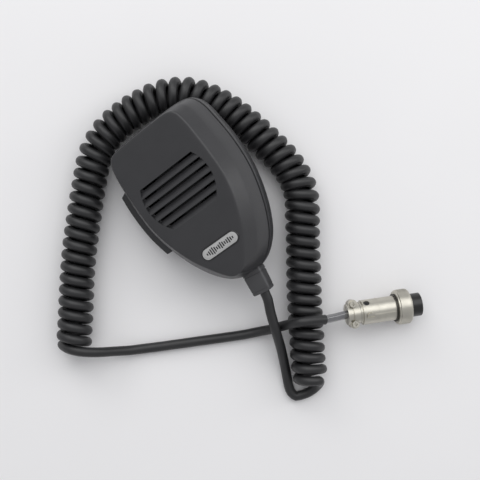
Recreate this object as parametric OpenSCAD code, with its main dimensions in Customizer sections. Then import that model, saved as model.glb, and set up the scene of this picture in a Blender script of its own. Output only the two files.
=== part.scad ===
// Hand microphone with a press-to-talk bar, a curly cord and a round locking plug.
// Handset long axis along Y (cord at -Y), front face up, lying rolled on its hang-up button.

/* [Handset] */
// Roll of the handset as it lies on its hang-up button, degrees
roll = 22; // [20:0.5:22]
// Height of the parting plane's middle above the table
lift = 23.6; // [23.6:0.05:24.6]
// Height of the front case above the parting plane
front_h = 18.5; // [18:0.1:19]
// Depth of the rear case below the parting plane
rear_h = 13.5; // [13:0.1:13.6]
// Number of sound slots
slot_count = 6; // [4:1:6]
// Spacing of the sound slots along the handset
slot_pitch = 4.6; // [4.4:0.1:4.8]
// Open height of one sound slot
slot_w = 1.5; // [1:0.1:2]
// Radius of the round field that the slots end on
grille_r = 21; // [18:0.5:21]
// Centre of the sound slots along the handset
grille_y = 11.6; // [11:0.2:12.6]
// Case screw shank radius
screw_r = 1.2; // [1:0.05:1.22]
// Hang-up button disc radius
button_r = 6; // [5.5:0.1:6]

/* [Name badge] */
// Length of the blank badge
badge_l = 22.8; // [20:0.2:23]
// Width of the blank badge
badge_w = 6.2; // [5:0.1:6.4]
// Badge centre along the handset
badge_y = -24.2; // [-25:0.1:-23]
// Badge centre across the handset
badge_x = 1.2; // [0:0.1:1.4]

/* [Press-to-talk bar] */
// How far the bar stands proud of the case side
ptt_proud = 3.2; // [2.4:0.1:3.4]
// Radius of the bar's pivot pin
ptt_pin_r = 1.0; // [0.8:0.1:1.1]

/* [Cord] */
// Outside diameter of the cord
cord_d = 5.3; // [4.8:0.1:5.4]
// Outside diameter of the curly part
coil_d = 19.5; // [18:0.1:19.6]

/* [Plug] */
// Barrel radius
barrel_r = 6.65; // [6.4:0.05:6.7]
// Coupling ring outside radius
ring_r = 9.5; // [9.2:0.05:9.5]
// Number of grooves in the coupling ring's knurl
knurl_n = 48; // [24:4:60]
// Number of contacts in the plug
contact_n = 8; // [4:1:8]

/* [Hidden] */
$fn = 48;
hx = 0.64; hy = 3.87;
// right half of the parting outline, top middle to bottom middle
P = [[0,50],[11.8,49.8],[21.8,49.2],[27.8,46.6],[30.9,41.5],[32.5,33],[33.8,18],[33.2,3],[30.5,-10],[26,-23],[19.9,-34],[12.5,-41.5],[5.6,-44.8],[0,-45]];
// right half of the front face's edge
C = [[0,46.6],[10,46.5],[18,46.1],[22,44.3],[23.8,40],[24.8,32],[25.5,16],[25,3],[22.1,-9.5],[17,-22],[10.6,-32],[5.6,-38.5],[2.2,-41],[0,-41.3]];
function cr1(a,b,c,d,t) = 0.5*((2*b)+(c-a)*t+(2*a-5*b+4*c-d)*t*t+(3*b-a-3*c+d)*t*t*t);
function spl(L,n,m=true) = [for (i=[0:len(L)-2]) for (j=[0:n-1])
    let(a = i>0 ? L[i-1] : m ? [-L[1][0],L[1][1]] : 2*L[0]-L[1],
        d = i<len(L)-2 ? L[i+2] : m ? [-L[len(L)-2][0],L[len(L)-2][1]] : 2*L[len(L)-1]-L[len(L)-2])
    cr1(a,L[i],L[i+1],d,j/n)];
// closed ring of points blended between the outlines (k 0 to 1), scaled about the middle
sub = 3;
PH = concat(spl(P,sub), [P[len(P)-1]]);
CH = concat(spl(C,sub), [C[len(C)-1]]);
nh = len(PH);
function ring2(k,sx,sy) = [for (i=[0:2*nh-3]) let(q = i<nh ? i : 2*nh-2-i, s = i<nh ? 1 : -1,
    p = PH[q]*(1-k)+CH[q]*k) [s*p[0]*sx, (p[1]-2.5)*sy+2.5]];
module loft(rows) {
    R = [for (r=rows) let(g=ring2(r[0],r[2],r[3])) [for (p=g) [p[0],p[1],r[1]]]];
    n = len(R[0]); m = len(R);
    up = rows[m-1][1] > rows[0][1];
    pts = [for (r=R) each r];
    side = [for (j=[0:m-2]) for (i=[0:n-1]) let(a=j*n+i,b=j*n+(i+1)%n,c=(j+1)*n+(i+1)%n,d=(j+1)*n+i) each [[a,b,c],[a,c,d]]];
    capa = [for (i=[0:n-1]) n-1-i];
    capb = [for (i=[0:n-1]) (m-1)*n+i];
    F = concat(side,[capa,capb]);
    // points run clockwise seen from the front, so faces are turned when the loft rises
    polyhedron(pts, up ? F : [for (f=F) [for (i=[len(f)-1:-1:0]) f[i]]]);
}
fz = front_h/17.3;
// capsule stack offset that follows the face
cz = 0.875*(front_h-17.3);
frows = [[0,0,1,1],[0.07,2,1,1],[0.28,7,1,1],[0.42,9.6,1,1],[0.9,15.9,1,1],[0.99,16.9,1,1],[1.08,17.3,1,1]];
function sc(rows,kx,ky,kz) = [for (r=rows) [r[0],r[1]*kz,r[2]*kx,r[3]*ky]];
rz = rear_h/13.5;
rrows = [[0,-0.5,1.012,1.004],[0,-4,1.006,1.0],[0,-8.5,0.99,0.992],[0,-10.9,0.965,0.972],[0,-12.6,0.925,0.945],[0,-13.3,0.885,0.915],[0,-13.5,0.84,0.88]];
rin = [[0,0.1,0.935,0.95],[0,-4,0.93,0.945],[0,-8.5,0.915,0.93],[0,-10.6,0.88,0.905],[0,-11.3,0.83,0.87]];
// half-width of the parting outline at a height y on the side
function pw(y) = let(c=[for (i=[0:nh-2]) if (PH[i][1]>=y && PH[i+1][1]<y) PH[i]+(PH[i+1]-PH[i])*(PH[i][1]-y)/(PH[i][1]-PH[i+1][1])]) c[0][0];
module place() translate([hx,hy,lift]) rotate([0,-roll,0]) children();
module cyl(x,y,z0,z1,r) translate([x,y,z0]) cylinder(r=r,h=z1-z0);
case_pts = [[22,36],[-22,36],[12.5,-27],[-12.5,-27]];
board_pts = [[17,-11],[-14,-15.5]];
piv = [-28,26];
// depth of the hang-up button's face, so that its rim stands on the table
btn = (lift-button_r*sin(roll))/cos(roll)-0.01;
ptt_ys = [27.5,22,16,10,4,-2,-7,-11.5];
ptt_lo = -6.5; ptt_hi = 3.5;
module stadium(l,w,h) hull() for (s=[-1,1]) translate([s*(l-w)/2,0,0]) cylinder(r=w/2,h=h,$fn=32);

module ptt_window() difference() {
    translate([-45,-12.3,ptt_lo-0.6]) cube([22,43.2,ptt_hi-ptt_lo+1.2]);
    translate([-30,-12.3,-20]) rotate([0,0,-35]) translate([-30,-10,0]) cube([60,10,40]);
}
module front_case() color([0.19,0.19,0.2]) place() difference() {
    loft(sc(frows,1,1,fz));
    difference() {
        translate([0,0,-0.02]) loft(sc(frows,0.932,0.95,0.875*fz));
        for (p=case_pts) cyl(p[0],p[1],0.5,20,3.1);
        translate([piv[0],piv[1],ptt_hi+0.8]) cylinder(r=2.2,h=3.4);
        difference() { cyl(0,grille_y,11.5,20,15.4); cyl(0,grille_y,11,20,13.4); }
    }
    translate([0,0,-1]) loft([[0,0,0.973,0.981],[0,1.1,0.973,0.981],[0,2.2,0.934,0.954]]);
    for (p=case_pts) cyl(p[0],p[1],-1,11,screw_r+0.05);
    cyl(piv[0],piv[1],0,7,ptt_pin_r+0.02);
    ptt_window();
    for (i=[0:slot_count-1]) let(dy=(i-(slot_count-1)/2)*slot_pitch, hw=sqrt(grille_r*grille_r-dy*dy)-1)
        translate([-hw,grille_y+dy-slot_w/2,13]) cube([2*hw,slot_w,8]);
    translate([badge_x,badge_y,front_h-0.7]) stadium(badge_l+1.3,badge_w+1.3,3);
    relief_hole();
}
module relief_hole() translate([0,-45,-1.5]) rotate([0,0,-8]) translate([-5.8,-6,-4.8]) cube([11.6,9.6,9.6]);
module rear_case() color([0.17,0.17,0.18]) place() difference() {
    union() {
        loft(sc(rrows,1,1,rz));
        difference() { translate([0,0,-1]) loft([[0,0,0.968,0.976],[0,1,0.968,0.976],[0,2.0,0.93,0.95]]); }
        translate([0,10,-rear_h-0.8]) cylinder(r=5.2,h=3);
    }
    difference() {
        union() { loft(sc(rin,1,1,rz)); translate([0,0,-1.2]) loft([[0,0,0.94,0.955],[0,3.4,0.90,0.93]]); }
        for (p=case_pts) cyl(p[0],p[1],-20,-0.2,4.1);
        for (p=board_pts) cyl(p[0],p[1],-20,-2.65,2.6);
        translate([piv[0],piv[1],-10.2]) cylinder(r=2.2,h=10.2+ptt_lo-0.8);
        cyl(0,10,-20,-8,6);
        cyl(0,-36.5,-20,-5.9,3);
    }
    for (p=case_pts) { cyl(p[0],p[1],-20,-8.5,3); cyl(p[0],p[1],-20,3,1.5); }
    for (p=board_pts) cyl(p[0],p[1],-9,0,0.85);
    cyl(piv[0],piv[1],-9.6,0,ptt_pin_r+0.02);
    cyl(0,10,-20,0,1.6);
    cyl(0,-36.5,-10.5,0,0.85);
    ptt_window();
    relief_hole();
}
module name_badge() color([0.8,0.8,0.79]) place() translate([badge_x,badge_y,front_h-0.68]) {
    stadium(badge_l,badge_w,0.75);
    // generic bars, thin and raised
    for (i=[0:2]) translate([-7.4+i*1.6,-1.1+i*0.2,0.7]) cube([0.7,1.2+i*0.5,0.15]);
}
module badge_rim() color([0.08,0.08,0.08]) place() translate([badge_x,badge_y,front_h-0.69]) difference() {
    stadium(badge_l+1.2,badge_w+1.2,0.9);
    translate([0,0,-1]) stadium(badge_l+0.06,badge_w+0.06,3);
}
module dust_screen() color([0.1,0.1,0.1]) place() translate([0,0,cz]) cyl(0,grille_y,14.3,14.7,13.3);
module capsule_gasket() color([0.15,0.15,0.15]) place() translate([0,0,cz]) difference() { cyl(0,grille_y,13.3,14.28,13.2); cyl(0,grille_y,13,15,10.8); }
module capsule_can() color([0.6,0.6,0.6]) place() translate([0,0,cz]) difference() {
    cyl(0,grille_y,3.4,13.28,12.6);
    cyl(0,grille_y,4.4,12.4,11.8);
    for (i=[0:5]) rotate(0) translate([0,grille_y,0]) rotate([0,0,60*i]) translate([6,0,12]) cylinder(r=1.5,h=3);
    cyl(0,grille_y,12,14,1.8);
}
module capsule_magnet() color([0.35,0.35,0.36]) place() translate([0,0,cz]) difference() { cyl(0,grille_y,4.42,9.6,8.6); cyl(0,grille_y,9,12,4.5); }
module capsule_diaphragm() color([0.85,0.8,0.6]) place() translate([0,0,cz]) difference() { cyl(0,grille_y,11.3,11.9,11.75); cyl(0,grille_y,11.6,12,9.5); }
module circuit_board() color([0.1,0.4,0.2]) place() difference() {
    translate([-19.5,-21,-2.6]) cube([39,18.5,1.6]);
    for (p=board_pts) cyl(p[0],p[1],-5,2,1.1);
    for (i=[0:3]) cyl(-4.5+3*i,-19,-5,2,0.5);
}
module preamp_capacitors() color([0.15,0.2,0.5]) place() for (p=[[4,-8,2.5,5],[10,-8,2,4.5],[9,-14,2,4]]) translate([p[0],p[1],-0.98]) { cylinder(r=p[2],h=p[3]); translate([0,0,0]) cylinder(r=p[2]+0.15,h=0.8); }
module preamp_transistor() color([0.1,0.1,0.1]) place() translate([-3,-10,1]) { intersection() { cylinder(r=2.3,h=4.6); translate([-3,-1.2,0]) cube([6,4,5]); } for (i=[-1:1]) translate([i*1.27-0.2,0,-1.98]) cube([0.4,0.4,2.2]); }
module wire_terminals() color([0.8,0.8,0.78]) place() for (i=[0:3]) { cyl(-4.5+3*i,-19,-3.4,0.4,0.42); cyl(-4.5+3*i,-19,-0.98,-0.4,0.9); }
module screw(x,y,zh,zt,rh,hh,rs) { // head from zh upward for hh, shank to zt, cross recess in the head
    difference() {
        union() { cyl(x,y,min(zh,zh+hh),max(zh,zh+hh),rh); cyl(x,y,min(zh,zt),max(zh,zt),rs); }
        translate([x,y,zh]) for (a=[0,90]) rotate([0,0,a]) cube([rh*1.2,rh*0.28,abs(hh)*1.1],center=true);
    }
}
module board_screws() color([0.7,0.7,0.7]) place() for (p=board_pts) screw(p[0],p[1],0.42,-8.6,1.8,-1.4,0.8);
module case_screws() color([0.55,0.55,0.56]) place() for (p=case_pts) screw(p[0],p[1],-10.3,10,2.7,1.75,screw_r);
module talk_switch_body() color([0.12,0.12,0.12]) place() difference() {
    translate([-19.4-5,-9.2,-0.98]) cube([6,6.4,4.6]);
    translate([-25,-6,1.3]) rotate([0,90,0]) cylinder(r=1.65,h=4);
}
// peg carried by the bar; it swings into the switch body as the bar is pressed
module talk_switch_plunger() color([0.75,0.2,0.15]) place() translate([-27.18,-6,1.3]) rotate([0,90,0]) cylinder(r=1.1,h=4.1);
module talk_bar() color([0.13,0.13,0.135]) place() difference() {
    union() {
        translate([0,0,ptt_lo]) linear_extrude(ptt_hi-ptt_lo) polygon(concat([[-30.2,30]],[for (y=ptt_ys) [-(pw(y)+ptt_proud),y]],
            [[-28.4,-11.6]],[for (i=[1:6]) let(y=[-11,-6,0,8,16,21.5][i-1]) [-(pw(y)-3.8),y]],[[-26,22.5],[-25.6,26],[-26.5,28.6]]));
        // pad that backs the switch peg
        translate([-29.2,-8,-0.4]) cube([2,4,3.4]);
    }
    cyl(piv[0],piv[1],-10,10,ptt_pin_r+0.06);
    // relieved back of the bar
    translate([-34,0,-4.8]) cube([9,16,6.6]);
}
module talk_bar_pin() color([0.75,0.75,0.76]) place() cyl(piv[0],piv[1],-9.5,6.9,ptt_pin_r);
module talk_bar_spring() color([0.8,0.78,0.7]) place() translate([-24.9,17,-3]) {
    // folded leaf spring standing beside the bar, its foot against the case rib
    cube([0.35,8,3]);
    translate([0,0,0]) cube([3,0.35,3]);
    translate([2.65,-6,0]) cube([0.35,6.35,3]);
}
module hang_up_button() color([0.1,0.1,0.1]) place() translate([0,10,0]) rotate([180,0,0]) difference() {
    rotate_extrude($fn=64) polygon([[0,rear_h+0.82],[4.2,rear_h+0.82],[3.6,rear_h+1.6],[3.6,rear_h+4.6],[4.6,rear_h+5.2],[button_r-0.4,rear_h+5.4],[button_r,rear_h+5.8],[button_r,btn-0.15],[button_r-0.15,btn],[0,btn]]);
    cyl(0,0,rear_h,20.5,1.3);
}
module button_screw() color([0.7,0.7,0.7]) place() screw(0,10,-5.2,-20.3,3,-1.9,1.27);
module button_washer() color([0.75,0.75,0.76]) place() difference() { cyl(0,10,-7.98,-7.12,4.5); cyl(0,10,-9,0,1.6); }
module cord_anchor() color([0.6,0.6,0.6]) place() difference() {
    union() { translate([-4.5,-39.5,-5.88]) cube([9,5.5,0.9]); translate([-4.2,-39.5,-5]) cube([0.9,3,5]); translate([3.3,-39.5,-5]) cube([0.9,3,5]); }
    cyl(0,-36.5,-8,0,1.0);
}
module anchor_screw() color([0.7,0.7,0.7]) place() screw(0,-36.5,-3.6,-10,1.7,-1.36,0.8);
module lead_wires() color([0.7,0.15,0.12]) place() for (i=[0:3]) hull() { translate([-4.5+3*i,-20.2,-3.9]) sphere(r=0.45,$fn=12); translate([-1.2+0.8*i,-33,-1.5]) sphere(r=0.45,$fn=12); }
module strain_relief() color([0.16,0.16,0.165]) place() translate([0,-45,-1.5]) rotate([0,0,-8]) difference() {
    union() {
        hull() for (s=[-1,1]) for (t=[-1,1]) { translate([s*4.1,-11.2,t*2.9]) sphere(r=1.3,$fn=20); translate([s*4.2,0.5,t*3.2]) sphere(r=1.4,$fn=20); }
        translate([-5.4,0,-4.4]) cube([10.8,3.4,8.8]);
    }
    translate([0,-20,0]) rotate([-90,0,0]) cylinder(r=cord_d/2+0.02,h=30);
}
// cord route points
cord_x = -1.3; // moves the whole cord sideways, so that it meets the handset and the plug
tail_a = [[0.9,-53.9,21.7],[-0.2,-58.7,21],[-2.7,-64.5,19.7],[-6,-74,17.6],[-9.5,-84.5,11],[-14,-95.5,5],[-18,-104.5,3],[-19,-109,2.8],[-17.5,-112.8,2.8],[-13.5,-115,2.8],[-8,-115.8,2.8],[-2.5,-115.3,3.2],[2,-113,5],[3.5,-109,8]];
coil_c = [[-7,-110],[-1,-98],[5,-88.5],[16,-70.5],[28,-52.5],[40,-34.5],[46,-25.5],[49.5,-17],[50.5,-8],[50,1],[48,12],[46,21],[43.3,31],[39,42],[33,52],[25.7,59.2],[15.5,64.3],[4,66.3],[-8,66.7],[-20,64.8],[-32,58.8],[-45,46.6],[-57,34.2],[-68,22.3],[-78.6,9.6],[-90,-5.2],[-102,-20.4]];
tail_b = [[-106.6,-17,14],[-104.2,-19.6,16],[-100,-23,16.5],[-95.5,-26.6,15],[-90.5,-30,12.3],[-84.5,-34.2,8],[-78,-38.6,4.6],[-71,-42.5,3],[-63.5,-46.5,2.8],[-44,-56.5,2.8],[-24,-66.7,2.8],[-15.5,-70.4,3.8],[-7.5,-73.5,7.8],[0,-75.3,15.8],[7,-77.6,22.4],[13.5,-81,21.8],[18.8,-84.6,19]];
tail_c = [[18.8,-84.6,19],[24.4,-87.3,16],[29.8,-89.6,14.4]];
function dir(L,i) = let(a=L[max(i-1,0)],b=L[min(i+1,len(L)-1)],d=b-a) d/norm(d);
module tube(L,r,ns) {
    n = len(L);
    pts = [for (i=[0:n-1]) let(d=dir(L,i),s0=cross(d,[0,0,1]),s=s0/norm(s0),u=cross(s,d)) for (k=[0:ns-1]) L[i]+r*(cos(360*(k+0.5)/ns)*s+sin(360*(k+0.5)/ns)*u)];
    polyhedron(pts, concat([[for (k=[0:ns-1]) k]],[[for (k=[0:ns-1]) (n-1)*ns+ns-1-k]],
        [for (i=[0:n-2]) for (k=[0:ns-1]) let(a=i*ns+k,b=i*ns+(k+1)%ns) each [[a,a+ns,b+ns],[a,b+ns,b]]]));
}
function path(L,n) = concat(spl(L,n,false),[L[len(L)-1]]);
module cord_handset_tail() color([0.1,0.1,0.1]) translate([cord_x,0,0]) tube(path(tail_a,2),cord_d/2,10);
module cord_coil() color([0.1,0.1,0.1]) translate([cord_x,0,0]) tube(path([for (p=coil_c) [p[0],p[1],coil_d/2]],1),coil_d/2,12);
module cord_plug_tail() color([0.1,0.1,0.1]) translate([cord_x,0,0]) tube(path(tail_b,2),cord_d/2,10);
module cord_inner_sheath() color([0.25,0.25,0.26]) translate([cord_x,0,0]) tube(path(tail_c,3),2.3,10);

// plug frame: X along the plug from the cord end to the nose
module plug() translate([28.5,-89.6,14.4]) rotate([0,0,-27.5]) rotate([0,8,0]) children();
module px(s0,s1,r) translate([s0,0,0]) rotate([0,90,0]) cylinder(r=r,h=s1-s0,$fn=64);
module plug_barrel() color([0.78,0.76,0.72]) plug() difference() {
    union() { px(8.2,35.1,barrel_r); px(29.9,31.2,7.5); px(7,8.2,barrel_r-0.9); px(16.6,17.4,barrel_r+0.12); }
    px(6,30,4.9);
    px(29,37,5.6);
    difference() { px(26.35,27.05,8); px(26,28,barrel_r-0.6); }
    translate([10.6,0,0]) rotate([-50,0,0]) cylinder(r=1.7,h=12);
    translate([11.6,0,0]) rotate([17,0,0]) cylinder(r=0.9,h=12);
    translate([14.2,-1.6,barrel_r-0.45]) cube([12.4,0.7,2]);
}
module saddle(s) difference() {
    union() {
        intersection() { union() { px(0,6.9,5.0); px(0,1.1,5.7); px(3.2,6.9,5.6); } translate([-1,-6,s>0?0.25:-7.25]) cube([12,12,7]); }
        for (t=[-1,1]) translate([3.4,t*5.2,s>0?0.25:-2.65]) cylinder(r=2.6,h=2.4);
        for (t=[-1,1]) translate([0.8,t>0?2.6:-5.2,s>0?0.25:-2.65]) cube([5.2,2.6,2.4]);
    }
    if (s>0) for (t=[-1,1]) cyl(3.4,t*5.4,2.66,9,1.9);
    px(-1,9,2.32);
    for (t=[-1,1]) translate([3.4,t*5.4,-5]) cylinder(r=1.05,h=10);
}
module plug_clamp_upper() color([0.78,0.76,0.72]) plug() saddle(1);
module plug_clamp_lower() color([0.78,0.76,0.72]) plug() difference() { union() { saddle(-1); translate([5.5,-2,-5.4]) cube([3,4,1.2]); } px(7.0,20,barrel_r+1); translate([6.9,-3,-6]) cube([5,6,6]); }
module plug_clamp_screws() color([0.7,0.69,0.67]) plug() for (t=[-1,1]) screw(3.4,t*5.4,4.3,-4.2,1.75,-1.62,1.0);
module plug_set_screw() color([0.12,0.12,0.12]) plug() translate([10.6,0,0]) rotate([-50,0,0]) difference() { cyl(0,0,4.95,5.9,1.66); translate([0,0,5.6]) cylinder(r=0.7,h=2,$fn=6); }
module plug_boss_screw() color([0.72,0.7,0.66]) plug() translate([11.6,0,0]) rotate([17,0,0]) difference() { union() { cyl(0,0,5,7.2,0.87); cyl(0,0,barrel_r+0.05,7.8,2.1); } translate([-3,-0.35,7.3]) cube([6,0.7,1]); }
module plug_coupling_ring() color([0.8,0.78,0.74]) plug() difference() {
    union() { px(27.8,34.3,ring_r-0.25); px(27.2,28,ring_r-0.55); px(34.1,34.8,ring_r-0.55); px(28.2,29.4,ring_r); px(32.6,33.9,ring_r); px(29.8,32.2,ring_r); }
    px(27,36,barrel_r+0.07);
    px(29.62,36,7.95);
    for (i=[0:knurl_n-1]) rotate([360*i/knurl_n,0,0]) translate([28,-0.15,ring_r-0.35]) cube([6.1,0.3,1]);
}
module plug_retaining_clip() color([0.3,0.3,0.3]) plug() difference() { px(26.43,26.97,barrel_r+0.95); px(26,28,barrel_r-0.55); translate([26,-2,-12]) cube([2,4,10]); }
module plug_insulator() color([0.06,0.06,0.06]) plug() difference() {
    union() { px(31,35.5,5.57); px(35.12,41,barrel_r-0.35); }
    for (i=[0:contact_n-1]) let(a=360*i/max(1,contact_n-1), r=i==contact_n-1?0:3.9) translate([0,r*cos(a),r*sin(a)]) px(30,42,0.85);
    translate([40.2,-0.5,4.85]) cube([2,1,0.6]);
}
module plug_contacts() color([0.85,0.75,0.5]) plug() for (i=[0:contact_n-1]) let(a=360*i/max(1,contact_n-1), r=i==contact_n-1?0:3.9) translate([0,r*cos(a),r*sin(a)]) difference() { px(27.5,40.2,0.82); px(33,41,0.5); }

front_case();
rear_case();
name_badge();
badge_rim();
dust_screen();
capsule_gasket();
capsule_can();
capsule_magnet();
capsule_diaphragm();
circuit_board();
preamp_capacitors();
preamp_transistor();
wire_terminals();
board_screws();
talk_switch_body();
talk_switch_plunger();
talk_bar();
talk_bar_pin();
talk_bar_spring();
case_screws();
hang_up_button();
button_screw();
button_washer();
cord_anchor();
anchor_screw();
lead_wires();
strain_relief();
cord_handset_tail();
cord_coil();
cord_plug_tail();
cord_inner_sheath();
plug_barrel();
plug_clamp_upper();
plug_clamp_lower();
plug_clamp_screws();
plug_set_screw();
plug_boss_screw();
plug_coupling_ring();
plug_retaining_clip();
plug_insulator();
plug_contacts();
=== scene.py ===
import bpy
import bmesh
import math
import numpy as np
from mathutils import Matrix, Vector


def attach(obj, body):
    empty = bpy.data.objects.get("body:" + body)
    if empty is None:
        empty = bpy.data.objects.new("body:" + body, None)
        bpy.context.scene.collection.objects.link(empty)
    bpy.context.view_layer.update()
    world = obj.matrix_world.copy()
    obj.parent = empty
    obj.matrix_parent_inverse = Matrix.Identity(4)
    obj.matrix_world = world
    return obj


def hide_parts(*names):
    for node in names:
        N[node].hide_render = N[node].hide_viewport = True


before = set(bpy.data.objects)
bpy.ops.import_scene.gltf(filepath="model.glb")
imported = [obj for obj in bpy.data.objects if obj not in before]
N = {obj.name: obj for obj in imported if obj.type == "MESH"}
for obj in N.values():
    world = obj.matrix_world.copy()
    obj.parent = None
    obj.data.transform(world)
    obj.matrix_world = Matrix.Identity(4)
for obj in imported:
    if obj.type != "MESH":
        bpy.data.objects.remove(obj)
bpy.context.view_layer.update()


MM = 0.001

# ---------------------------------------------------------------- frame of the handset and the plug
HX, HY, HZ, ROLL = 0.64, 3.87, 23.6, math.radians(22)
CR, SR = math.cos(ROLL), math.sin(ROLL)


def place(p):
    """handset frame (mm) to row frame (mm)"""
    p = np.asarray(p, float)
    out = np.empty_like(p)
    out[..., 0] = HX + p[..., 0] * CR - p[..., 2] * SR
    out[..., 1] = HY + p[..., 1]
    out[..., 2] = HZ + p[..., 0] * SR + p[..., 2] * CR
    return out


PA, PB = math.radians(-27.5), math.radians(8)
PO = np.array([28.5, -89.6, 14.4])
PXV = np.array([math.cos(PA) * math.cos(PB), math.sin(PA) * math.cos(PB), -math.sin(PB)])
PYV = np.array([-math.sin(PA), math.cos(PA), 0.0])
PZV = np.cross(PXV, PYV)


def plug(p):
    p = np.asarray(p, float)
    return PO + p[..., 0:1] * PXV + p[..., 1:2] * PYV + p[..., 2:3] * PZV


# ---------------------------------------------------------------- camera
cam = bpy.data.cameras.new("camera")
cam.lens = 68.37
cam.sensor_width = 36
camo = bpy.data.objects.new("camera", cam)
bpy.context.scene.collection.objects.link(camo)
camo.location = (4.8 * MM, -23.75 * MM, 505 * MM)
camo.rotation_euler = (0, 0, math.radians(-35.12))
bpy.context.scene.camera = camo


# ---------------------------------------------------------------- materials
def mat(name, base, rough=0.5, metal=0.0, spec=0.5, coat=0.0, coat_rough=0.1, sheen=0.0,
        grain=0.0, grain_scale=2500, mottle=0.0, mottle_scale=60, rough_var=0.0, wave=None, bump_dist=0.00006):
    m = bpy.data.materials.new(name)
    m.use_nodes = True
    nt = m.node_tree
    b = nt.nodes["Principled BSDF"]
    b.inputs["Base Color"].default_value = (*base, 1)
    b.inputs["Roughness"].default_value = rough
    b.inputs["Metallic"].default_value = metal
    b.inputs["Specular IOR Level"].default_value = spec
    b.inputs["Coat Weight"].default_value = coat
    b.inputs["Coat Roughness"].default_value = coat_rough
    if sheen:
        b.inputs["Sheen Weight"].default_value = sheen
        b.inputs["Sheen Roughness"].default_value = 0.4
    tc = nt.nodes.new("ShaderNodeTexCoord")

    def noise(scale, detail=3.0, rgh=0.55):
        n = nt.nodes.new("ShaderNodeTexNoise")
        n.inputs["Scale"].default_value = scale
        n.inputs["Detail"].default_value = detail
        n.inputs["Roughness"].default_value = rgh
        nt.links.new(tc.outputs["Object"], n.inputs["Vector"])
        return n
    if mottle:
        n = noise(mottle_scale)
        r = nt.nodes.new("ShaderNodeValToRGB")
        r.color_ramp.elements[0].position = 0.3
        r.color_ramp.elements[1].position = 0.7
        r.color_ramp.elements[0].color = (*[c * (1 - mottle) for c in base], 1)
        r.color_ramp.elements[1].color = (*[min(1, c * (1 + mottle)) for c in base], 1)
        nt.links.new(n.outputs["Fac"], r.inputs["Fac"])
        nt.links.new(r.outputs["Color"], b.inputs["Base Color"])
    if rough_var:
        n = noise(mottle_scale * 3.1)
        mr = nt.nodes.new("ShaderNodeMapRange")
        mr.inputs["To Min"].default_value = max(0.02, rough - rough_var)
        mr.inputs["To Max"].default_value = min(1, rough + rough_var)
        nt.links.new(n.outputs["Fac"], mr.inputs["Value"])
        nt.links.new(mr.outputs["Result"], b.inputs["Roughness"])
    if grain or wave:
        src = None
        if grain:
            n = noise(grain_scale, 2.0, 0.6)
            src = n.outputs["Fac"]
        if wave:
            w = nt.nodes.new("ShaderNodeTexWave")
            w.inputs["Scale"].default_value = wave
            w.inputs["Distortion"].default_value = 1.5
            nt.links.new(tc.outputs["Object"], w.inputs["Vector"])
            src = w.outputs["Fac"] if src is None else src
        bp = nt.nodes.new("ShaderNodeBump")
        bp.inputs["Strength"].default_value = grain if grain else 0.3
        bp.inputs["Distance"].default_value = bump_dist
        nt.links.new(src, bp.inputs["Height"])
        nt.links.new(bp.outputs["Normal"], b.inputs["Normal"])
    return m


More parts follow.
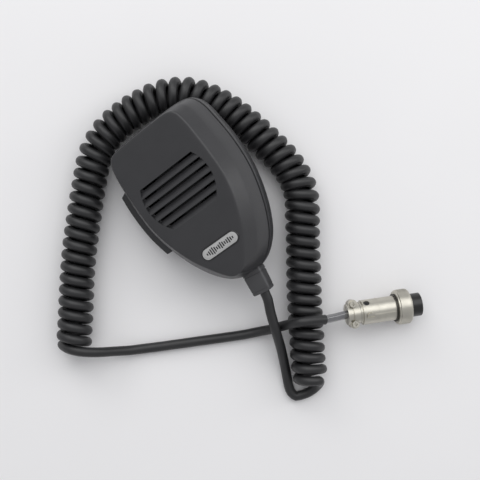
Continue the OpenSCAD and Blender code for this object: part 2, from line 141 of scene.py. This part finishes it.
M = {
    "case": mat("case_plastic", (0.03, 0.03, 0.0325), rough=0.4, spec=0.55, grain=0.55, grain_scale=1500, mottle=0.06, mottle_scale=90, rough_var=0.05),
    "bar": mat("bar_plastic", (0.03, 0.03, 0.032), rough=0.42, grain=0.4, grain_scale=1700, mottle=0.08, rough_var=0.05),
    "badge": mat("badge_metal", (0.47, 0.47, 0.465), rough=0.5, metal=0.2, grain=0.12, grain_scale=900, mottle=0.03, mottle_scale=120),
    "trim": mat("black_trim", (0.012, 0.012, 0.013), rough=0.28, coat=0.3, grain=0.1, mottle=0.1),
    "cloth": mat("screen_cloth", (0.008, 0.008, 0.009), rough=0.95, grain=0.8, grain_scale=2200, mottle=0.25, mottle_scale=900),
    "foam": mat("foam", (0.03, 0.03, 0.03), rough=0.95, grain=1.0, grain_scale=1200, mottle=0.2, mottle_scale=700),
    "can": mat("can_metal", (0.55, 0.55, 0.55), rough=0.3, metal=1, grain=0.15, grain_scale=600, mottle=0.04, rough_var=0.06),
    "magnet": mat("magnet", (0.12, 0.12, 0.13), rough=0.5, metal=0.7, grain=0.6, grain_scale=1600, mottle=0.15),
    "film": mat("film", (0.62, 0.52, 0.3), rough=0.22, coat=0.4, grain=0.1, mottle=0.05),
    "board": mat("board", (0.02, 0.14, 0.05), rough=0.35, coat=0.5, grain=0.2, grain_scale=1200, mottle=0.15, mottle_scale=300),
    "blue": mat("component_blue", (0.02, 0.04, 0.2), rough=0.3, coat=0.3, mottle=0.08),
    "cblack": mat("component_black", (0.02, 0.02, 0.02), rough=0.55, grain=0.4, mottle=0.1),
    "solder": mat("solder", (0.7, 0.7, 0.68), rough=0.25, metal=1, grain=0.3, grain_scale=900, mottle=0.05),
    "steel": mat("steel", (0.52, 0.52, 0.5), rough=0.32, metal=1, grain=0.2, grain_scale=1200, mottle=0.06, rough_var=0.08),
    "clip": mat("clip_steel", (0.07, 0.066, 0.06), rough=0.4, metal=0.9, grain=0.15, mottle=0.1),
    "spring": mat("spring_steel", (0.4, 0.39, 0.36), rough=0.3, metal=1, grain=0.15, mottle=0.08, rough_var=0.06),
    "red": mat("switch_red", (0.4, 0.03, 0.02), rough=0.4, grain=0.2, mottle=0.06),
    "wire": mat("wire_red", (0.35, 0.025, 0.015), rough=0.4, grain=0.15, mottle=0.06),
    "relief": mat("relief_rubber", (0.06, 0.06, 0.063), rough=0.45, grain=0.5, grain_scale=1800, mottle=0.08, rough_var=0.05),
    "cord": mat("cord_black", (0.012, 0.012, 0.013), rough=0.47, spec=0.6, grain=0.35, grain_scale=1300, mottle=0.18, mottle_scale=140, rough_var=0.07),
    "sheath": mat("sheath_grey", (0.16, 0.16, 0.167), rough=0.2, metal=0.35, spec=0.8, coat=0.9, coat_rough=0.06, mottle=0.12, mottle_scale=300, grain=0.12, grain_scale=700),
    "nickel": mat("nickel", (0.55, 0.53, 0.468), rough=0.38, metal=1, grain=0.22, grain_scale=1400, mottle=0.06, mottle_scale=260, rough_var=0.07),
    "insert": mat("insert_black", (0.008, 0.008, 0.008), rough=0.35, coat=0.1, grain=0.15, mottle=0.15),
    "gold": mat("contact_gold", (0.7, 0.5, 0.2), rough=0.25, metal=1, grain=0.1, mottle=0.06),
}
NODE_MAT = dict(
    dust_screen="cloth", capsule_gasket="foam", capsule_can="can", capsule_magnet="magnet", capsule_diaphragm="film",
    circuit_board="board", preamp_capacitors="blue", preamp_transistor="cblack", wire_terminals="solder",
    board_screws="steel", talk_switch_body="cblack", talk_switch_plunger="red", talk_bar_pin="steel",
    talk_bar_spring="spring", case_screws="steel", button_screw="steel", button_washer="steel",
    cord_anchor="steel", anchor_screw="steel", lead_wires="wire", plug_barrel="nickel", plug_clamp_upper="nickel",
    plug_clamp_lower="nickel", plug_clamp_screws="nickel", plug_set_screw="trim", plug_boss_screw="nickel",
    plug_retaining_clip="clip", plug_insulator="insert", plug_contacts="gold")
for n, k in NODE_MAT.items():
    o = N[n]
    o.data.materials.clear()
    o.data.materials.append(M[k])


# ---------------------------------------------------------------- mesh helpers
def make(name, verts_mm, faces, m, smooth=True, angle=35):
    me = bpy.data.meshes.new(name)
    me.from_pydata([tuple(float(c) * MM for c in v) for v in verts_mm], [], faces)
    me.update()
    ob = bpy.data.objects.new(name, me)
    bpy.context.scene.collection.objects.link(ob)
    bm = bmesh.new()
    bm.from_mesh(me)
    bmesh.ops.recalc_face_normals(bm, faces=bm.faces)
    bm.to_mesh(me)
    bm.free()
    me.materials.append(m)
    if smooth:
        soft(ob, angle)
    return ob


def soft(ob, angle=35):
    me = ob.data
    me.shade_smooth()
    me.set_sharp_from_angle(angle=math.radians(angle))


def apply(ob):
    dg = bpy.context.evaluated_depsgraph_get()
    ev = ob.evaluated_get(dg)
    me = bpy.data.meshes.new_from_object(ev)
    mats = [s for s in ob.data.materials]
    ob.modifiers.clear()
    ob.data = me
    if not me.materials:
        for s in mats:
            me.materials.append(s)
    return ob


def cut(ob, cutters, op="DIFFERENCE"):
    for c in cutters:
        md = ob.modifiers.new("b", "BOOLEAN")
        md.operation = op
        md.object = c
        md.solver = "EXACT"
        apply(ob)
        bpy.data.objects.remove(c)
    return ob


def bevel(ob, w, seg=3, angle=35):
    md = ob.modifiers.new("bev", "BEVEL")
    md.width = w * MM
    md.segments = seg
    md.limit_method = "ANGLE"
    md.angle_limit = math.radians(angle)
    md.harden_normals = False
    return apply(ob)


def ring_faces(m, n, cap0=True, cap1=True):
    f = []
    for j in range(m - 1):
        for i in range(n):
            a, b = j * n + i, j * n + (i + 1) % n
            f.append((a, b, b + n, a + n))
    if cap0:
        f.append(tuple(range(n - 1, -1, -1)))
    if cap1:
        f.append(tuple((m - 1) * n + i for i in range(n)))
    return f


def prism(name, poly, z0, z1, xf, m=None):
    v = [(x, y, z0) for x, y in poly] + [(x, y, z1) for x, y in poly]
    return make(name, xf(np.array(v, float)), ring_faces(2, len(poly)), m or M["trim"], smooth=False)


def cyl(name, c, axis, r, h0, h1, xf, n=48, m=None):
    """axis 0, 1 or 2 in the local frame"""
    v = []
    for h in (h0, h1):
        for i in range(n):
            a = 2 * math.pi * i / n
            p = [c[0], c[1], c[2]]
            u, w = [(1, 2), (2, 0), (0, 1)][axis]
            p[u] += r * math.cos(a)
            p[w] += r * math.sin(a)
            p[axis] += h
            v.append(p)
    return make(name, xf(np.array(v, float)), ring_faces(2, n), m or M["trim"], smooth=False)


def chaikin(rows, times=2):
    r = [np.array(x, float) for x in rows]
    for _ in range(times):
        o = [r[0]]
        for a, b in zip(r[:-1], r[1:]):
            o += [0.75 * a + 0.25 * b, 0.25 * a + 0.75 * b]
        o.append(r[-1])
        r = o
    return r


# ---------------------------------------------------------------- case outlines, as in the CAD
P = [(0, 50), (11.8, 49.8), (21.8, 49.2), (27.8, 46.6), (30.9, 41.5), (32.5, 33), (33.8, 18), (33.2, 3), (30.5, -10), (26, -23), (19.9, -34), (12.5, -41.5), (5.6, -44.8), (0, -45)]
C = [(0, 46.6), (10, 46.5), (18, 46.1), (22, 44.3), (23.8, 40), (24.8, 32), (25.5, 16), (25, 3), (22.1, -9.5), (17, -22), (10.6, -32), (5.6, -38.5), (2.2, -41), (0, -41.3)]


def spline(L, n, mirror=False):
    L = np.array(L, float)
    if mirror:
        e0, e1 = L[1].copy(), L[-2].copy()
        e0[0] *= -1
        e1[0] *= -1
    else:
        e0, e1 = 2 * L[0] - L[1], 2 * L[-1] - L[-2]
    Q = np.vstack([e0, L, e1])
    out = []
    for i in range(1, len(Q) - 2):
        a, b, c, d = Q[i - 1:i + 3]
        for j in range(n):
            t = j / n
            out.append(0.5 * ((2 * b) + (c - a) * t + (2 * a - 5 * b + 4 * c - d) * t * t + (3 * b - a - 3 * c + d) * t ** 3))
    out.append(L[-1])
    return np.array(out)


SUB = 12
PH, CH = spline(P, SUB, True), spline(C, SUB, True)


def ring2(k, sx, sy):
    h = PH * (1 - k) + CH * k
    h = np.vstack([h, (h[-2:0:-1] * np.array([-1, 1]))])
    return np.column_stack([h[:, 0] * sx, (h[:, 1] - 2.5) * sy + 2.5])


def loft(name, rows, m, smooth=True):
    V = []
    n = 0
    for k, z, sx, sy in rows:
        g = ring2(k, sx, sy)
        n = len(g)
        V.append(np.column_stack([g, np.full(n, z)]))
    return make(name, place(np.vstack(V)), ring_faces(len(rows), n), m, smooth)


def half_width(y):
    i = np.where((PH[:-1, 1] >= y) & (PH[1:, 1] < y))[0][0]
    t = (PH[i, 1] - y) / (PH[i, 1] - PH[i + 1, 1])
    return PH[i, 0] + (PH[i + 1, 0] - PH[i, 0]) * t


# ---------------------------------------------------------------- cord: tail, curl and tail as one length
TAIL_A = [(-0.2, -52, 22.1), (-0.4, -53.9, 21.7), (-1.5, -58.7, 21), (-4, -64.5, 19.7), (-7.3, -74, 17.6), (-10.8, -84.5, 11), (-15.3, -95.5, 5), (-19.3, -104.5, 3), (-20.3, -109, 2.8), (-18.8, -112.6, 2.8), (-14.8, -114.8, 2.8), (-9.3, -115.5, 3)]
COIL = [(-8.3, -110), (-2.3, -98), (3.7, -88.5), (14.7, -70.5), (26.7, -52.5), (38.7, -34.5), (44.7, -25.5), (48.2, -17), (49.2, -8), (48.7, 1), (46.7, 12), (44.7, 21), (42, 31), (37.7, 42), (31.7, 52), (24.4, 59.2), (14.2, 64.3), (2.7, 66.3), (-9.3, 66.7), (-21.3, 64.8), (-33.3, 58.8), (-46.3, 46.6), (-58.3, 34.2), (-69.3, 22.3), (-79.9, 9.6), (-91.3, -5.2), (-103.3, -20.4)]
TAIL_B = [(-96.8, -26.6, 15), (-91.8, -30, 12.3), (-85.8, -34.2, 8), (-79.3, -38.6, 4.6), (-72.3, -42.5, 3), (-64.8, -46.5, 2.8), (-45.3, -56.5, 2.8), (-25.3, -66.7, 2.8), (-16.8, -70.4, 3.8), (-8.8, -73.5, 7.8), (-1.3, -75.3, 15.8), (5.7, -77.6, 22.4), (12.2, -81, 21.8), (17.5, -84.6, 19)]
CORD_D = 5.3
TURNS, R_COIL = 57.75, 7.05
cc = spline(COIL, 24)
seg = np.linalg.norm(np.diff(cc, axis=0), axis=1)
acc = np.concatenate([[0], np.cumsum(seg)])
L_COIL = acc[-1]
NT = 20
nh = int(TURNS * NT) + 1
rng = np.random.RandomState(4)


def smooth_noise(n, width):
    x = rng.randn(n + 6 * width)
    k = np.hanning(2 * width + 1)
    x = np.convolve(x, k / math.sqrt((k ** 2).sum()), "same")
    return x[3 * width:3 * width + n]


s_line = np.linspace(0.0, L_COIL, nh)
s_line = s_line + smooth_noise(nh, 70) * 0.35 * np.sin(np.pi * np.linspace(0, 1, nh))
cx = np.interp(s_line, acc, cc[:, 0])
cy = np.interp(s_line, acc, cc[:, 1])
dxy = np.column_stack([np.gradient(cx), np.gradient(cy)])
kern = np.hanning(25)
kern /= kern.sum()
pad = np.pad(dxy, ((12, 12), (0, 0)), "edge")
dxy = np.column_stack([np.convolve(pad[:, i], kern, "valid") for i in (0, 1)])
dxy /= np.linalg.norm(dxy, axis=1)[:, None]
A0 = math.radians(-50)
A1 = A0 + TURNS * 2 * math.pi
A1 = round((A1 - math.pi / 2) / (2 * math.pi)) * 2 * math.pi + math.pi / 2   # ends on top of the curl
ang = np.linspace(A0, A1, nh)
rad = R_COIL * (1 - 0.012 * np.abs(smooth_noise(nh, 60)))
right = np.column_stack([dxy[:, 1], -dxy[:, 0]])
helix = np.column_stack([
    cx + right[:, 0] * rad * np.cos(ang),
    cy + right[:, 1] * rad * np.cos(ang),
    CORD_D / 2 + 0.03 + R_COIL + rad * np.sin(ang)])


def resample(pts, step):
    s = np.concatenate([[0], np.cumsum(np.linalg.norm(np.diff(pts, axis=0), axis=1))])
    n = max(2, int(round(s[-1] / step)) + 1)
    t = np.linspace(0, s[-1], n)
    return np.column_stack([np.interp(t, s, pts[:, i]) for i in range(3)])


head = spline(np.vstack([np.array(TAIL_A, float), helix[0:12:6]]), 10)
# keep the head up to the first helix point
cutoff = len(TAIL_A) * 10 + 1
head = head[:cutoff]
last = spline(np.vstack([helix[-7:-1:3], helix[-1:], np.array(TAIL_B, float)]), 10)
last = last[2 * 10:]
path = np.vstack([resample(head, 1.6)[:-1], helix, resample(last, 1.6)[1:]])
# ease the two joins, leaving the curl alone
na = len(resample(head, 1.6)) - 1
nb = na + nh
for _ in range(30):
    q = path.copy()
    q[1:-1] = 0.5 * path[1:-1] + 0.25 * (path[:-2] + path[2:])
    for c0, c1 in ((na - 10, na + 6), (nb - 6, nb + 10)):
        path[c0:c1] = q[c0:c1]
path[:, 2] = np.maximum(path[:, 2], CORD_D / 2 + 0.02)


def sweep(path, r, n, closed_ends=True, rvar=None):
    T = np.gradient(path, axis=0)
    T /= np.linalg.norm(T, axis=1)[:, None]
    U = np.zeros_like(T)
    u = np.cross(T[0], [0, 0, 1.0])
    if np.linalg.norm(u) < 1e-3:
        u = np.array([1.0, 0, 0])
    u /= np.linalg.norm(u)
    for i in range(len(T)):
        u = u - T[i] * np.dot(u, T[i])
        u /= np.linalg.norm(u)
        U[i] = u
    W = np.cross(T, U)
    a = np.linspace(0, 2 * math.pi, n, endpoint=False)
    rr = np.full(len(path), r) if rvar is None else rvar
    V = path[:, None, :] + rr[:, None, None] * (np.cos(a)[None, :, None] * U[:, None, :] + np.sin(a)[None, :, None] * W[:, None, :])
    return V.reshape(-1, 3), ring_faces(len(path), n)


V, F = sweep(path, CORD_D / 2, 16)
cord = make("curly_cord", V, F, M["cord"], angle=80)
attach(cord, "handset")
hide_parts("cord_handset_tail", "cord_coil", "cord_plug_tail")

# ---------------------------------------------------------------- inner sheath, with the jacket's cut end
TAIL_C = [(17.5, -84.6, 19), (23.1, -87.3, 16), (28.5, -89.6, 14.4)]
sp = spline(np.vstack([TAIL_C, [PO + 6.0 * PXV]]), 12)
sp = np.vstack([path[-3], sp[1:]])
V, F = sweep(sp, 2.2, 48)
V = V.reshape(len(sp), 48, 3)
flute = 1 + 0.035 * np.cos(6 * np.linspace(0, 2 * math.pi, 48, endpoint=False))
V = (sp[:, None, :] + (V - sp[:, None, :]) * flute[None, :, None]).reshape(-1, 3)
sheath = make("inner_sheath", V, F, M["sheath"], angle=80)
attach(sheath, "handset")
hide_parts("cord_inner_sheath")

# ---------------------------------------------------------------- frame of the strain relief
A5 = math.radians(-8)


def relief(p):
    p = np.asarray(p, float)
    x = p[..., 0] * math.cos(A5) - p[..., 1] * math.sin(A5)
    y = p[..., 0] * math.sin(A5) + p[..., 1] * math.cos(A5)
    return place(np.stack([x, y - 45.0, p[..., 2] - 1.5], axis=-1))


# ---------------------------------------------------------------- front case
FH = 18.5
FS = FH / 17.3
rows = [(0.0, 0.0, 0.972, 0.98), (0.0, 0.75, 0.972, 0.98), (0.0, 0.9, 0.985, 0.99), (0.0, 0.95, 0.999, 0.999), (0.06, 2, 1, 1), (0.26, 6.6, 1, 1), (0.38, 9.0, 1, 1), (0.45, 10.1, 1, 1), (0.86, 15.4, 1, 1),
        (0.94, 16.45, 1, 1), (1.0, 16.98, 1, 1), (1.1, 17.2, 1, 1), (1.3, 17.3, 1, 1)]
rows = [(k, z * FS, sx, sy) for k, z, sx, sy in chaikin(rows, 2)]
for f in (0.93, 0.86, 0.78, 0.7, 0.6, 0.5, 0.4, 0.3, 0.2, 0.1, 0.04):
    rows.append((1.3, FH + 0.35 * (1 - f * f), f, f))
front = loft("front_case_shell", rows, M["case"])
irow = [(0, -0.5, .932, .95), (0, 0, .932, .95), (0.07, 1.75, .932, .95), (0.28, 6.1, .932, .95), (0.42, 8.4, .932, .95), (0.9, 13.9, .932, .95), (0.99, 14.8, .932, .95), (1.08, 15.13, .932, .95)]
irow = [(k, z * FS, sx, sy) for k, z, sx, sy in irow]
inner = loft("cut_in", irow, M["case"], False)
cut(front, [inner])
lip = loft("cut_lip", [(0, -0.6, .973, .981), (0, 0.1, .973, .981), (0, 1.2, .934, .954)], M["case"], False)
cut(front, [lip])
# louvred grille: each step drops behind its slot and rises to the face at the next
GY, GR, PITCH = 11.6, 21.0, 4.6
grille_tools = []
for i in range(6):
    y0 = GY + (2.5 - i) * PITCH
    y0 -= 0.1
    prof = [(y0, 24.0), (y0, FH - 1.7), (y0 - 1.1, FH - 1.7), (y0 - PITCH * 0.9, FH + 0.3), (y0 - PITCH * 0.9, 24.0)]
    w = 26.0
    v = [(-w, y, z) for y, z in prof] + [(w, y, z) for y, z in prof]
    wedge = make("wedge%d" % i, place(np.array(v)), ring_faces(2, len(prof)), M["case"], False)
    disc = cyl("disc%d" % i, (0, GY, 0), 2, GR - 0.15 * 0, 14.0, 24.0, place, n=96)
    cut(wedge, [disc], "INTERSECT")
    grille_tools.append(wedge)
    hw = math.sqrt(GR * GR - (y0 - 0.8 - GY) ** 2) - 1.0
    slot = prism("slot%d" % i, [(-hw, y0 - 1.05), (hw, y0 - 1.05), (hw, y0 - 0.02), (-hw, y0 - 0.02)], 14.0, FH - 1.5, place)
    grille_tools.append(slot)
cut(front, grille_tools)


def stadium(l, w, n=20):
    r = w / 2
    h = l / 2 - r
    pts = []
    for i in range(n + 1):
        a = -math.pi / 2 + math.pi * i / n
        pts.append((h + r * math.cos(a), r * math.sin(a)))
    for i in range(n + 1):
        a = math.pi / 2 + math.pi * i / n
        pts.append((-h + r * math.cos(a), r * math.sin(a)))
    return pts


BX, BY = 1.2, -24.2
cut(front, [prism("badge_cut", [(x + BX, y + BY) for x, y in stadium(23.9, 7.3)], FH - 0.75, 22, place)])
WIN = [(-45, -12.3), (-24.2, -12.3), (-23.2, -11.0), (-23, 30.9), (-45, 30.9)]
cut(front, [prism("window_cut", WIN, -2, 4.1, place)])
cut(front, [prism("relief_cut", [(-5.8, -6), (5.8, -6), (5.8, 3.6), (-5.8, 3.6)], -4.8, 4.8, relief)])
soft(front, 28)
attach(front, "handset")
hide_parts("front_case")

# ---------------------------------------------------------------- rear case
rr = [(0, -0.6, 0.999, 0.997), (0, -0.95, 1.012, 1.004), (0, -4, 1.006, 1.0), (0, -8.5, 0.992, 0.993), (0, -10.9, 0.965, 0.972), (0, -12.6, 0.925, 0.945), (0, -13.35, 0.885, 0.915), (0, -13.5, 0.84, 0.88)]
rr = chaikin(rr, 2)
j4 = next(i for i, q in enumerate(rr) if q[1] < -3.2)
rr = [q for q in rr[:j4] if q[1] > -2.7] + [(0, -2.75, 1.0105, 1.0035), (0, -2.85, 0.998, 0.994), (0, -3.2, 0.998, 0.994), (0, -3.3, 1.009, 1.002)] + rr[j4:]
for f in (0.9, 0.75, 0.6, 0.45, 0.3, 0.15, 0.05):
    rr.append((0, -13.5, 0.84 * f, 0.88 * f))
rear = loft("rear_case_shell", rr, M["case"])
tongue = loft("tongue", [(0, -1.2, .968, .976), (0, 0, .968, .976), (0, 0.9, .932, .952)], M["case"], False)
cut(rear, [tongue], "UNION")
cut(rear, [loft("rcut", [(0, 1.2, .925, .945), (0, 0.1, .932, .948), (0, -4, .93, .945), (0, -8.5, .915, .93), (0, -10.6, .88, .905), (0, -11.3, .83, .87)], M["case"], False)])
cut(rear, [cyl("seat", (0, 10, 0), 2, 5.2, -14.3, -12.5, place, 64)], "UNION")
for x, y in ((22, 36), (-22, 36), (12.5, -27), (-12.5, -27)):
    cut(rear, [cyl("boss", (x, y, 0), 2, 4.1, -12.4, -0.5, place, 40)], "UNION")
    cut(rear, [cyl("cb", (x, y, 0), 2, 3.0, -20, -8.5, place, 48), cyl("cb2", (x, y, 0), 2, 1.5, -20, 3, place, 32)])
cut(rear, [prism("window_cut", WIN, -7.1, 3, place)])
cut(rear, [prism("relief_cut", [(-5.8, -6), (5.8, -6), (5.8, 3.6), (-5.8, 3.6)], -4.8, 4.8, relief)])
soft(rear, 28)
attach(rear, "handset")
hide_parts("rear_case")

# ---------------------------------------------------------------- badge
def dome(name, outline_fn, steps, m):
    V = []
    n = 0
    for off, z in steps:
        pts = outline_fn(off)
        n = len(pts)
        V += [(x + BX, y + BY, z) for x, y in pts]
    return make(name, place(np.array(V, float)), ring_faces(len(steps), n), m, angle=50)


FZ = FH + 0.08
plate = dome("badge_plate", lambda o: stadium(22.8 - 2 * o, 6.2 - 2 * o), [(0, FH - 0.7), (0, FZ), (0.12, FZ + 0.1), (0.32, FZ + 0.12), (0.42, FZ + 0.07), (0.55, FZ + 0.07), (0.65, FZ + 0.12), (1.6, FZ + 0.14), (2.6, FZ + 0.15)], M["badge"])
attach(plate, "handset")
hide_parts("name_badge")
rim = dome("badge_rim_ring", lambda o: stadium(23.8 - 2 * o, 7.2 - 2 * o), [(0, FH - 0.7), (0, FZ + 0.06), (0.12, FZ + 0.22), (0.35, FZ + 0.28), (0.6, FZ + 0.24), (0.74, FZ + 0.16), (0.74, FZ + 0.02), (0.48, FZ), (0.48, FH - 0.7)], M["trim"])
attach(rim, "handset")
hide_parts("badge_rim")
for i, (h, x) in enumerate(zip((1.2, 2.2, 3.2, 3.8, 2.8, 1.6, 2.4, 3.4, 2.6, 1.6, 2.2, 3.0, 2.0, 1.2), [-8.45 + 1.3 * k for k in range(14)])):
    v = []
    b = prism("badge_bar%d" % i, [(x + BX - 0.36, BY - h / 2), (x + BX + 0.36, BY - h / 2), (x + BX + 0.36, BY + h / 2), (x + BX - 0.36, BY + h / 2)], FZ + 0.05, FZ + 0.24, place, M["trim"])
    bevel(b, 0.08, 2)
    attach(b, "handset")

# ---------------------------------------------------------------- talk bar
ys = np.linspace(27.5, -11.5, 40)
outer = [(-(half_width(y) + 3.2), y) for y in ys]
innr = [(-(half_width(y) - 3.8), y) for y in np.linspace(-11, 21.5, 24)]
poly = [(-30.2, 30)] + outer + [(-28.4, -11.6)] + innr + [(-26, 22.5), (-25.6, 26), (-26.5, 28.6)]
bar = prism("talk_bar_shell", poly, -6.5, 3.5, place, M["bar"])
cut(bar, [cyl("pin", (-28, 26, 0), 2, 1.06, -10, 10, place, 40), prism("rel", [(-34, 0), (-25, 0), (-25, 16), (-34, 16)], -4.8, 1.8, place)])
cut(bar, [prism("pad", [(-29.2, -8), (-27.2, -8), (-27.2, -4), (-29.2, -4)], -0.4, 3.0, place)], "UNION")
bevel(bar, 0.7, 3, 40)
soft(bar, 40)
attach(bar, "talk_bar")
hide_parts("talk_bar")

# ---------------------------------------------------------------- strain relief
def rrect(hw, hh, r, n=8):
    pts = []
    for cxx, cyy, a0 in ((hw - r, hh - r, 0), (-hw + r, hh - r, 90), (-hw + r, -hh + r, 180), (hw - r, -hh + r, 270)):
        for i in range(n + 1):
            a = math.radians(a0 + 90 * i / n)
            pts.append((cxx + r * math.cos(a), cyy + r * math.sin(a)))
    return pts


V = []
secs = [(3.3, 5.3, 4.3, 0.8), (0.9, 5.3, 4.3, 0.8), (0.75, 5.5, 4.5, 1.2), (0, 5.6, 4.55, 1.3), (-1.2, 5.6, 4.55, 1.3), (-1.35, 5.35, 4.3, 1.2), (-1.75, 5.35, 4.3, 1.2), (-1.9, 5.55, 4.5, 1.3), (-6, 5.5, 4.4, 1.4), (-10.2, 5.4, 4.25, 1.4), (-10.4, 5.2, 4.05, 1.3), (-10.75, 5.2, 4.05, 1.3), (-10.9, 5.4, 4.25, 1.4), (-11.9, 5.3, 4.15, 1.4), (-12.3, 5.0, 3.85, 1.3), (-12.45, 4.2, 3.3, 1.2), (-12.45, 3.1, 2.8, 1.6)]
for y, hw, hh, r in secs:
    V += [(x, y, z) for x, z in rrect(hw, hh, r)]
sr = make("strain_relief_boot", relief(np.array(V)), ring_faces(len(secs), 36), M["relief"], angle=50)
cut(sr, [cyl("srb", (0, -20, 0), 1, 2.67, 0, 30, relief, 40)])
soft(sr, 45)
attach(sr, "handset")
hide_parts("strain_relief")

# ---------------------------------------------------------------- hang-up button
prof = [(1.3, 14.32), (4.2, 14.32), (3.9, 14.6), (3.62, 15.1), (3.6, 18.0), (3.8, 18.35), (4.6, 18.7), (5.6, 18.95), (5.9, 19.1), (6, 19.35), (6, 22.85), (5.93, 22.97), (5.8, 23.01), (1.3, 23.01)]
n = 72
V = []
for r, z in prof:
    V += [(r * math.cos(2 * math.pi * i / n), 10 + r * math.sin(2 * math.pi * i / n), -z) for i in range(n)]
F = []
m_ = len(prof)
for j in range(m_):
    for i in range(n):
        a, b = j * n + i, j * n + (i + 1) % n
        c, d = ((j + 1) % m_) * n + (i + 1) % n, ((j + 1) % m_) * n + i
        F.append((a, b, c, d))
button = make("hang_button_body", place(np.array(V)), F, M["bar"], angle=40)
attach(button, "handset")
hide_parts("hang_up_button")

# ---------------------------------------------------------------- coupling ring
prof = [(27.25, 6.73), (27.2, 6.9), (27.2, 8.6), (27.35, 8.9), (27.6, 8.95), (28.0, 8.98), (28.1, 9.3), (28.25, 9.45)]
kn0 = len(prof)
prof += [(28.3 + 0.3 * i, 9.5) for i in range(1, 18)]
kn1 = len(prof)
prof += [(33.85, 9.45), (34.0, 9.2), (34.3, 9.0), (34.6, 8.9), (34.78, 8.6), (34.8, 8.1), (34.7, 7.96), (29.7, 7.95), (29.62, 7.9), (29.62, 6.74)]
n = 96 * 4
V = []
for j, (x, r) in enumerate(prof):
    for i in range(n):
        a = 2 * math.pi * i / n
        q = r
        if kn0 <= j < kn1:
            up = (i + 2 * (j % 2)) % 4
            q = r - (0.13 if up == 0 else 0.05 if up in (1, 3) else 0.0)
        V.append((x, q * math.cos(a), q * math.sin(a)))
F = []
m_ = len(prof)
for j in range(m_):
    for i in range(n):
        a, b = j * n + i, j * n + (i + 1) % n
        c, d = ((j + 1) % m_) * n + (i + 1) % n, ((j + 1) % m_) * n + i
        F.append((a, b, c, d))
ring = make("coupling_ring_knurled", plug(np.array(V)), F, M["nickel"], angle=30)
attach(ring, "coupling_ring")
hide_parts("plug_coupling_ring")

for nme in NODE_MAT:
    soft(N[nme], 30)

# ---------------------------------------------------------------- floor and light
fm = mat("floor", (0.86, 0.855, 0.86), rough=0.6, spec=0.2, mottle=0.01, mottle_scale=6)
bpy.ops.mesh.primitive_plane_add(size=6, location=(0, 0, -0.0001))
floor = bpy.context.object
floor.name = "floor"
floor.data.materials.append(fm)

w = bpy.data.worlds.new("w")
w.use_nodes = True
bg = w.node_tree.nodes["Background"]
bg.inputs["Color"].default_value = (0.97, 0.975, 1.0, 1)
bg.inputs["Strength"].default_value = 0.5
bpy.context.scene.world = w
sc = bpy.context.scene
sc.view_settings.view_transform = "Standard"
sc.view_settings.look = "None"


def area(name, loc, target, size, power, color=(1, 1, 1)):
    l = bpy.data.lights.new(name, "AREA")
    l.shape = "RECTANGLE"
    l.size, l.size_y = size
    l.energy = power
    l.color = color
    o = bpy.data.objects.new(name, l)
    sc.collection.objects.link(o)
    o.location = loc
    o.rotation_euler = (Vector(target) - Vector(loc)).to_track_quat("-Z", "Y").to_euler()
    return o


def img(dx, dy, z):
    """a point given along the picture's right and up directions, in metres from the view's middle"""
    c, s = math.cos(math.radians(35.12)), math.sin(math.radians(35.12))
    return (0.0048 + dx * c + dy * s, -0.0235 - dx * s + dy * c, z)


area("key", img(0.05, 0.75, 1.2), img(0, 0, 0), (1.8, 1.3), 11)
area("left", img(-0.5, 0.8, 0.5), img(0, 0, 0.02), (0.7, 0.3), 1.5)
area("right", img(0.85, 0.35, 0.5), img(0, 0, 0.02), (0.3, 0.7), 1.7)
